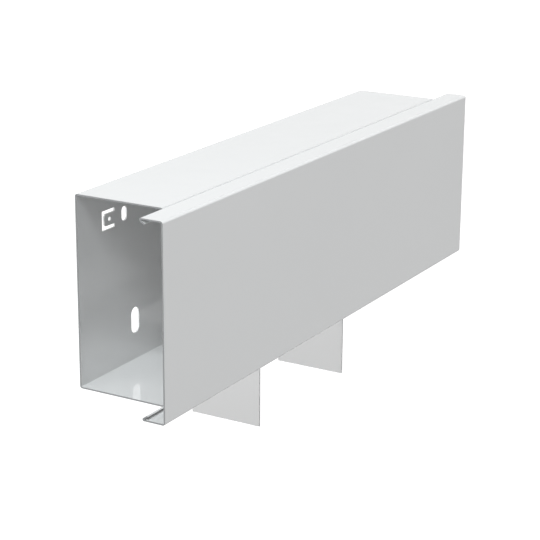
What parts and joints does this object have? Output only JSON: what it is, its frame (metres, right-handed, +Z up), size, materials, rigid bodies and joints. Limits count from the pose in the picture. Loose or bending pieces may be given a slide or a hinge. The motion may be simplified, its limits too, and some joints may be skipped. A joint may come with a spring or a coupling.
{
  "type": "cable trunking tee",
  "caption": "Steel cable trunking tee: folded base channel with a branch window, folded-out branch tabs and wall slots, closed by a longer clip-on cover.",
  "frame": {"origin": "on the floor under the middle of the tee, which stands on the lower edges of its two branch tabs", "axes": "+X along the run, +Y out of the back face towards the wall, +Z up, away from the branch"},
  "size_m": [0.3374, 0.0636, 0.1471],
  "materials": {
    "coated_base": "semi-gloss white coating",
    "coated_cover": "semi-gloss white coating"
  },
  "bodies": {
    "root": {"base_channel": "coated_base", "snap_cover": "coated_cover"}
  },
  "joints": []
}
